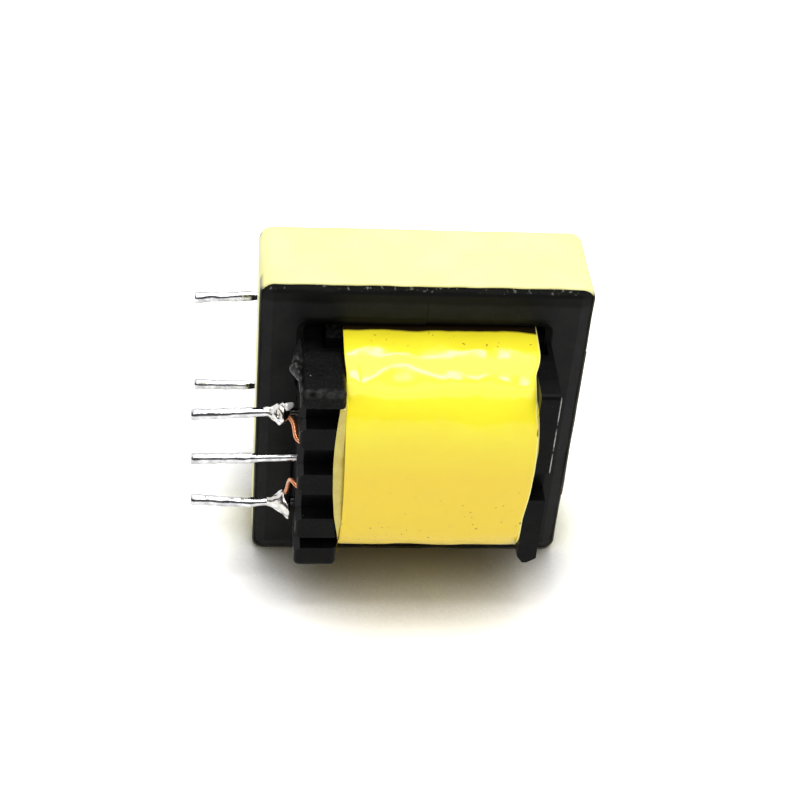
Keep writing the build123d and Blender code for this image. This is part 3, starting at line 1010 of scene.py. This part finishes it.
@dataclass
class Pin:
    """Tinned pin: a bare root, a thicker dipped length and a flared tip, crooked and lumpy.

    The surface is the pin's axis plus (radius(x) + slow lumps) times the unit circle.
    """

    row: Row
    number: int
    pitch: float = 4.25
    row_y: float = 6.9
    middle_z: float = 12.6
    stations: Line = (-6.85, -11.35, -11.7, -12.2, -12.6, -15.4, -15.9, -16.3, -16.5, -16.58)
    radii: Line = (0.29, 0.29, 0.31, 0.38, 0.395, 0.395, 0.42, 0.46, 0.44, 0.36)
    lift_x: Triple = (-16.6, -12.3, -9.0)
    lifts: tuple[Triple, ...] = ((-0.37, -0.08, 0.0), (-0.27, -0.13, 0.0), (0.02, -0.25, 0.0))
    back_lifts: tuple[Triple, ...] = ((-0.23, 0.04, 0.0), (0.0, 0.0, 0.0), (-0.23, -0.25, 0.0))
    dipped_x: Pair = (-11.4, -12.4)
    lump: float = 0.011
    lump_length: float = 1.1
    lump_reach: float = 0.6
    bend_blur: float = 0.5
    blur: float = 0.05
    seed: int = 40
    columns: int = 48
    rows: int = 150

    def axis_at(self, x: Array) -> Array:
        """Return the pin's axis: straight, with a slight bend outside the rail.

        Args:
            x: Places along X.

        Returns:
            Places (y, z).
        """
        z = self.middle_z + (2 - self.number) * self.pitch
        lifts = self.lifts if self.row is Row.FRONT else self.back_lifts
        lift = smooth_line(self.lift_x, lifts[self.number - 1], x, self.bend_blur)
        return np.stack([np.full_like(x, self.row.value * self.row_y), z + lift], axis=-1)

    def build(self) -> None:
        """Build the pin as a closed surface round its axis."""
        x = np.linspace(self.stations[0], self.stations[-1], self.rows)
        radius = smooth_line(self.stations, self.radii, x, self.blur)
        seed = self.seed + self.number + 10 * (self.row is Row.BACK)
        grid = turned(x, self.axis_at(x), radius, self.columns, self.lump * ease(*self.dipped_x, x),
                      np.full_like(x, self.lump_reach), self.lump_length, seed)
        name = f"pin_{self.row.label}_{self.number}"
        obj = surface(f"tinned_{name}", grid)
        dress(obj, (TIN if self.number == 2 else FLUXED_TIN).material())
        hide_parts(name)


@dataclass
class SolderJoint:
    """Solder round the root of a wired pin, with its own reach above and below the pin.

    The surface is a circle of radius (up + down) / 2 about an axis shifted by (up - down) / 2
    along the joint's own lean, at stations along X, plus slow lumps.
    """

    row: Row
    number: int
    stations: Line
    up: Line
    down: Line
    lean: Pair = (0.635, 0.772)
    lump: float = 0.05
    lump_length: float = 0.7
    full_radius: float = 0.5
    blur: float = 0.06
    least_radius: float = 0.02
    seed: int = 70
    rows: int = 90
    columns: int = 64

    def build(self) -> None:
        """Build the joint as a closed surface."""
        x = np.linspace(self.stations[0], self.stations[-1], self.rows)
        up, down = (smooth_line(self.stations, line, x, self.blur) for line in (self.up, self.down))
        lean = np.array([-self.row.value * self.lean[0], self.lean[1]])
        axis = Pin(self.row, self.number).axis_at(x) + 0.5 * (up - down)[:, None] * lean
        radius = np.maximum(0.5 * (up + down), self.least_radius)
        lumps = self.lump * np.minimum(radius / self.full_radius, 1.0)
        seed = self.seed + self.number + 10 * (self.row is Row.BACK)
        grid = turned(x, axis, radius, self.columns, lumps, radius, self.lump_length, seed)
        name = f"solder_{self.row.label}_{self.number}"
        obj = surface(f"{name}_joint", grid)
        dress(obj, SOLDER.material())
        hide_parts(name)


@dataclass
class SolderFinger:
    """Bright finger of solder from the upper joint towards the rail, its pale colour a painted
    reflection of the light above.

    Points are x, the distance inwards from the pin's axis, and the height over it.
    """

    row: Row
    points: tuple[Triple, ...] = ((-9.30, 0.09, 0.73), (-9.55, -0.07, 0.70), (-9.80, -0.19, 0.67),
                                  (-10.20, -0.16, 0.52))
    shares: Four = (0.0, 0.22, 0.6, 1.0)
    radii: Four = (0.08, 0.20, 0.29, 0.26)
    tip: Pair = (0.12, 0.02)
    blur: float = 0.05
    lump: float = 0.05
    lump_length: float = 0.5
    seed: int = 33
    rows: int = 60
    columns: int = 40

    def build(self) -> None:
        """Carry an uneven circle beside the pin, mirrored for the back row."""
        path = smooth_path(self.points, self.rows, self.blur)
        pin = Pin(self.row, 1)
        path[:, 1] = self.row.value * (pin.row_y - path[:, 1])
        path[:, 2] += pin.axis_at(path[:, 0])[:, 1]
        share = np.linspace(0.0, 1.0, self.rows)
        tip = np.sqrt(np.minimum(share / self.tip[0] + self.tip[1], 1.0))
        radius = np.interp(share, self.shares, self.radii) * tip
        grid = tube(path, radius, self.columns, (0.0, 0.0, 1.0), self.lump, self.seed,
                    self.lump_length)
        obj = surface(f"solder_{self.row.label}_1_finger", grid)
        dress(obj, SOLDER_PAINTED_REFLECTION.material())


@dataclass
class Lead:
    """Enamelled lead: out of the coil along its slot, round the rail and up to its pin's solder."""

    row: Row
    number: int
    points: tuple[Triple, ...]
    diameter: float = 0.34
    blur: float = 0.22
    aside: Triple = (0.8, 0.0, 0.6)
    rows: int = 120
    columns: int = 24

    def build(self) -> None:
        """Carry a circle along the lead's smooth line, mirrored for the back row."""
        path = smooth_path(self.points, self.rows, self.blur)
        path[:, 1] *= -self.row.value
        radius = np.full(self.rows, self.diameter / 2.0)
        grid = tube(path, radius, self.columns, self.aside)
        name = f"lead_{self.row.label}_{self.number}"
        obj = surface(f"{name}_wire", grid)
        dress(obj, COPPER.material())
        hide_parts(name)


@dataclass
class Terminals:
    """Pins with their solder and leads."""

    upper_stations: Line = (-9.60, -9.69, -9.85, -10.05, -10.25, -10.50, -10.80, -11.15, -11.5)
    upper_up: Line = (0.30, 0.52, 0.72, 0.86, 0.80, 0.58, 0.44, 0.31, 0.29)
    upper_down: Line = (0.24, 0.44, 0.74, 0.94, 0.92, 0.74, 0.50, 0.31, 0.29)
    lower_stations: Line = (-9.28, -9.38, -9.55, -9.80, -10.05, -10.30, -10.65, -11.0)
    lower_up: Line = (0.42, 0.62, 0.82, 1.00, 0.86, 0.62, 0.38, 0.29)
    lower_down: Line = (1.16, 1.26, 1.20, 0.98, 0.84, 0.68, 0.46, 0.30)
    upper_lead: tuple[Triple, ...] = (
        (-5.80, -8.82, 15.65), (-8.6, -8.82, 15.65), (-8.95, -8.76, 15.68), (-9.19, -8.45, 15.85),
        (-9.24, -7.85, 16.15), (-9.36, -7.40, 16.40), (-9.62, -7.10, 16.60), (-10.0, -7.0, 16.80))
    lower_lead: tuple[Triple, ...] = (
        (-5.80, -8.86, 11.40), (-8.6, -8.86, 11.40), (-8.95, -8.80, 11.48), (-9.20, -8.45, 11.62),
        (-9.38, -7.95, 11.40), (-9.46, -7.45, 10.75), (-9.52, -7.15, 9.80), (-9.70, -7.0, 9.0))

    def build(self) -> None:
        """Build every pin, joint and lead."""
        for row, numbers in ((Row.FRONT, (1, 2, 3)), (Row.BACK, (1, 3))):
            for number in numbers:
                Pin(row, number).build()
            SolderJoint(row, 1, self.upper_stations, self.upper_up, self.upper_down).build()
            SolderJoint(row, 3, self.lower_stations, self.lower_up, self.lower_down).build()
            SolderFinger(row).build()
            Lead(row, 1, self.upper_lead).build()
            Lead(row, 3, self.lower_lead).build()


# Core and former


@dataclass
class CoreTape:
    """Band of pale tape round the core, with its doubled end on the far face.

    The surface is a rounded rectangle in X and Z, walked by its length, times a thin closed
    section: its outer face, its edges and its inner face. The outer face has slow waves, and the
    edges run unevenly.
    """

    half_x: float = 11.9
    low_z: float = 0.0
    high_z: float = 25.7
    corner: float = 1.05
    half_y: float = 3.45
    build_mm: float = 0.15
    rows: int = 720
    columns: int = 26
    overlap_z: Pair = (5.85, 19.85)
    overlap: float = 0.06
    overlap_step: float = 0.05
    set_back: float = 0.22
    front_gap: float = 0.02
    inner_gap: float = 0.005
    under_front: Pair = (0.6, 0.1)
    edge_wave: float = 0.025
    edge_length: float = 2.2
    face_wave: float = 0.009
    face_length: float = 4.0
    face_sink: float = 0.012
    edge_drop: float = 0.03
    edge_width: float = 0.08
    seed: int = 21

    def outline(self) -> tuple[Array, Array]:
        """Walk round the rounded rectangle from the foot of the far side, over the top.

        Returns:
            Places (x, z) and outward directions (x, z).
        """
        half_z = (self.high_z - self.low_z) / 2.0
        flat_x, flat_z = self.half_x - self.corner, half_z - self.corner
        quarter = self.corner * np.pi / 2.0
        lengths = np.array([2 * flat_z, quarter, 2 * flat_x, quarter] * 2)
        ends = np.concatenate([[0.0], np.cumsum(lengths)])
        run = np.linspace(0.0, ends[-1], self.rows, endpoint=False)
        knots_x = flat_x * np.array([1, 1, 1, -1, -1, -1, -1, 1, 1])
        knots_z = flat_z * np.array([-1, 1, 1, 1, 1, -1, -1, -1, -1])
        knots_turn = np.array([0.0, 0.0, 0.5, 0.5, 1.0, 1.0, 1.5, 1.5, 2.0]) * np.pi
        turn = np.interp(run, ends, knots_turn)
        outward = np.stack([np.cos(turn), np.sin(turn)], axis=-1)
        spine = np.stack([np.interp(run, ends, knots_x), np.interp(run, ends, knots_z)], axis=-1)
        places = spine + self.corner * outward
        places[:, 1] += (self.low_z + self.high_z) / 2.0
        return places, outward

    def build(self) -> None:
        """Build the band as one closed ring."""
        places, outward = self.outline()
        x, z = places.T
        flat = np.stack([x, 0.0 * x, z], axis=-1)
        front, back = (self.edge_wave * unevenness(flat, self.edge_length, seed)
                       for seed in (self.seed, self.seed + 1))
        front += self.set_back * ease(*self.under_front, outward[:, 1])
        front -= self.half_y + self.front_gap
        back += self.half_y
        share = np.linspace(-1.0, 1.0, self.columns)
        y = 0.5 * (front + back)[:, None] + 0.5 * (back - front)[:, None] * share
        grid = np.stack([x[:, None] + 0.0 * y, y, z[:, None] + 0.0 * y], axis=-1)
        start, end = self.overlap_z
        doubled = (ease(start - self.overlap_step, start + self.overlap_step, z)
                   * ease(end + self.overlap_step, end - self.overlap_step, z) * (x > 0))
        relief = self.face_wave * unevenness(grid, self.face_length, self.seed + 2)
        relief -= self.face_sink
        relief -= self.edge_drop * np.exp(-(self.half_y - np.abs(y)) / self.edge_width)
        relief = np.minimum(relief, 0.0) + (self.overlap * doubled)[:, None]
        outer = lifted(grid, outward, relief, (0, 2))
        inner = lifted(grid, outward, np.full_like(y, self.inner_gap - self.build_mm), (0, 2))
        ring = np.concatenate([outer, inner[:, ::-1]], axis=1)
        obj = surface("core_tape_band", ring, ring=True)
        dress(obj, CORE_TAPE.material())
        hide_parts("core_tape")


@dataclass
class VarnishRun:
    """Lumpy run of dried varnish along the outer edge of the rail's top block, down its front."""

    row: Row
    points: tuple[Triple, ...] = (
        (-9.00, -3.75, 20.98), (-9.02, -4.5, 20.96), (-9.10, -5.2, 20.90), (-9.22, -6.2, 20.72),
        (-9.20, -7.2, 20.72), (-9.06, -8.2, 20.90), (-9.00, -9.2, 20.96), (-9.00, -9.80, 20.90),
        (-9.00, -9.88, 20.3), (-9.00, -9.88, 19.7))
    radii: Line = (0.10, 0.17, 0.32, 0.44, 0.44, 0.26, 0.14, 0.13, 0.09, 0.06)
    blur: float = 0.15
    lump: float = 0.13
    lump_length: float = 0.8
    seed: int = 61
    rows: int = 200
    columns: int = 56

    def build(self) -> None:
        """Carry an uneven circle along the edge, mirrored for the back row."""
        path = smooth_path(self.points, self.rows, self.blur)
        path[:, 1] *= -self.row.value
        shares = np.linspace(0.0, 1.0, len(self.radii))
        radius = np.interp(np.linspace(0.0, 1.0, self.rows), shares, self.radii)
        grid = tube(path, radius, self.columns, (1.0, 0.0, 0.0), self.lump,
                    self.seed + self.row.value, self.lump_length)
        obj = surface(f"varnish_run_{self.row.label}", grid)
        dress(obj, VARNISH.material())


@dataclass
class CoreAndFormer:
    """Ferrite core with its tape, and the moulded coil former with its varnish."""

    def build(self) -> None:
        """Dress the ferrite and the former, and build the varnish and the tape."""
        for row in Row:
            VarnishRun(row).build()
        for node, finish in (("core_half_pin_side", FERRITE), ("core_half_far_side", FERRITE),
                             ("bobbin", MOULDING)):
            dress_node(node, finish)
        CoreTape().build()


# Studio


def stand(name: str, data: bpy.types.ID, axes: tuple[Vector, ...], place: Vector) -> None:
    """Stand a lamp or a camera in the scene.

    Args:
        name: Name of the object.
        data: The lamp or camera.
        axes: Directions of its right, its up and its back.
        place: Its place in metres.
    """
    obj = bpy.data.objects.new(name, data)
    obj.matrix_world = Matrix.Translation(place) @ Matrix(axes).transposed().to_4x4()
    obj.visible_camera = False
    bpy.context.collection.objects.link(obj)


@dataclass
class Studio:
    """White table, soft light from above and behind, and the camera.

    Each lamp is a name, the angle of its middle above the horizon behind the part, the angles
    that it covers up and down and along X, all in degrees, and the brightness of its face.
    """

    eye: Triple = (-14.771, -107.444, 100.540)
    right: Triple = (0.99497819, -0.06766351, 0.07375676)
    up: Triple = (-0.01405802, 0.63511538, 0.77228934)
    back: Triple = (-0.09909986, -0.76944792, 0.63097473)
    lens: float = 82.76
    sensor: float = 36.0
    clip: Pair = (0.005, 10.0)
    table_half: float = 900.0
    table_count: int = 9
    table_seen: float = 1.35
    table_lit: Triple = (0.97, 0.97, 0.965)
    shade_colour: Triple = (0.25, 0.235, 0.19)
    shade_reach: float = 9.0
    shade_open: Pair = (0.40, 0.90)
    sky_low: float = 0.16
    sky_high: float = 0.95
    sky_seen: float = 1.0
    sky_rise: Pair = (0.2, 0.85)
    dark_forward: Pair = (0.05, -0.25)
    dark_foot: Pair = (0.02, 0.10)
    dark_top: Pair = (0.93, 0.85)
    room_dark: float = 0.92
    lamps: tuple[tuple[str, float, float, float, float], ...] = (
        ("light_overhead_strip", 98.0, 4.2, 19.0, 16.0),
        ("light_rear_strip", 65.0, 3.8, 20.0, 15.0),
        ("light_softbox", 81.0, 28.0, 36.0, 2.4),
        ("light_front_softbox", 120.0, 24.0, 60.0, 1.8))
    lamp_distance: float = 400.0

    def build(self) -> None:
        """Build the table, the sky, the lamps and the camera."""
        self.table()
        self.sky()
        for lamp in self.lamps:
            self.lamp(*lamp)
        self.camera()

    def table(self) -> None:
        """Lay the white table under the part, as a plain square whose colour, as the camera sees
        it, carries painted shade close to the part.
        """
        steps = np.linspace(-self.table_half, self.table_half, self.table_count)
        x, y = np.meshgrid(steps, steps, indexing="ij")
        places = np.stack([x, y, 0.0 * x], axis=-1).reshape(-1, 3) * MM
        number = np.arange(x.size).reshape(x.shape)
        faces = np.stack([number[:-1, :-1], number[1:, :-1], number[1:, 1:], number[:-1, 1:]],
                         axis=-1).reshape(-1, 4)
        mesh = bpy.data.meshes.new("table")
        mesh.from_pydata(places.tolist(), [], faces.tolist())
        obj = bpy.data.objects.new("table", mesh)
        bpy.context.collection.objects.link(obj)

        material = TABLE_WHITE.material()
        sheet = NodeSheet(material.node_tree)
        # Painted contact shadow: the camera's view of the table darkens where ambient occlusion
        # finds the part close by.
        nearby = sheet.add("ShaderNodeAmbientOcclusion", samples=8)
        nearby.inputs["Distance"].default_value = self.shade_reach * MM
        seen = sheet.blend(sheet.remap(nearby.outputs["AO"], *self.shade_open), self.shade_colour,
                           (self.table_seen,) * 3)
        path = sheet.add("ShaderNodeLightPath").outputs["Is Camera Ray"]
        matt = sheet.add("ShaderNodeBsdfDiffuse")
        sheet.join(sheet.blend(path, self.table_lit, seen), matt.inputs["Color"])
        sheet.join(matt.outputs["BSDF"], sheet.find("OUTPUT_MATERIAL").inputs["Surface"])
        mesh.materials.append(material)

    def sky(self) -> None:
        """Light evenly, and show white to the camera and in reflections, but for a dark room.

        The dark part is a share of the ray's direction: in front of the part and above the table's
        edge, and clear again towards the zenith. Only reflections see it.
        """
        world = bpy.data.worlds.new("studio_sky")
        world.use_nodes = True
        sheet = NodeSheet(world.node_tree)
        sky = sheet.find("BACKGROUND")
        path = sheet.add("ShaderNodeLightPath").outputs
        parts = sheet.add("ShaderNodeSeparateXYZ")
        sheet.join(sheet.place["Generated"], parts.inputs["Vector"])
        forward, upward = parts.outputs["Y"], parts.outputs["Z"]
        smooth = {"kind": "SMOOTHSTEP"}
        dark = sheet.product(sheet.remap(forward, *self.dark_forward, **smooth),
                             sheet.remap(upward, *self.dark_foot, **smooth),
                             sheet.remap(upward, *self.dark_top, **smooth),
                             self.room_dark, path["Is Glossy Ray"])
        reflected = sheet.math("MAXIMUM", path["Is Glossy Ray"], path["Is Transmission Ray"])
        seen = sheet.math("MAXIMUM", path["Is Camera Ray"], reflected)
        rise = sheet.product(sheet.remap(upward, *self.sky_rise, **smooth),
                             self.sky_high - self.sky_low)
        lighting = sheet.product(sheet.math("SUBTRACT", 1.0, seen),
                                 sheet.math("ADD", rise, self.sky_low))
        level = sheet.math("ADD", sheet.product(seen, self.sky_seen), lighting)
        level = sheet.product(level, sheet.math("SUBTRACT", 1.0, dark))
        sheet.join(level, sky.inputs["Strength"])
        sky.inputs["Color"].default_value = (1.0, 1.0, 1.0, 1.0)
        bpy.context.scene.world = world

    def lamp(self, name: str, elevation: float, height_deg: float, width_deg: float,
             radiance: float) -> None:
        """Hang a rectangular lamp behind or over the part, facing it.

        Args:
            name: Name of the lamp.
            elevation: Angle of its middle above the horizon behind the part, in degrees.
            height_deg: Angle that it covers up and down.
            width_deg: Angle that it covers along X.
            radiance: Brightness of its face.
        """
        angle = np.radians(elevation)
        out = Vector((0.0, float(np.cos(angle)), float(np.sin(angle))))
        distance = self.lamp_distance * MM
        width, height = (2.0 * distance * float(np.tan(np.radians(covered / 2.0)))
                         for covered in (width_deg, height_deg))
        light = bpy.data.lights.new(name, "AREA")
        light.shape = "RECTANGLE"
        light.size, light.size_y = width, height
        light.energy = radiance * width * height * float(np.pi)
        across = Vector((1.0, 0.0, 0.0))
        stand(name, light, (across, out.cross(across), out),
              Vector((0.0, 0.0, MID_Z * MM)) + out * distance)

    def camera(self) -> None:
        """Stand the camera where the photograph was taken from."""
        data = bpy.data.cameras.new("camera")
        data.lens = self.lens
        data.sensor_width = self.sensor
        data.clip_start, data.clip_end = self.clip
        stand("camera", data, (Vector(self.right), Vector(self.up), Vector(self.back)),
              Vector(self.eye) * MM)
        bpy.context.scene.camera = bpy.data.objects["camera"]


def main() -> None:
    """Build the dressed part and its studio."""
    logging.basicConfig(level=logging.INFO, format="%(name)s: %(message)s")
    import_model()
    for assembly in (CoreAndFormer(), Coil(), Terminals(), Studio()):
        LOG.info("building %s", type(assembly).__name__)
        assembly.build()
    bpy.context.scene.view_settings.view_transform = "Standard"


if __name__ == "__main__":
    main()
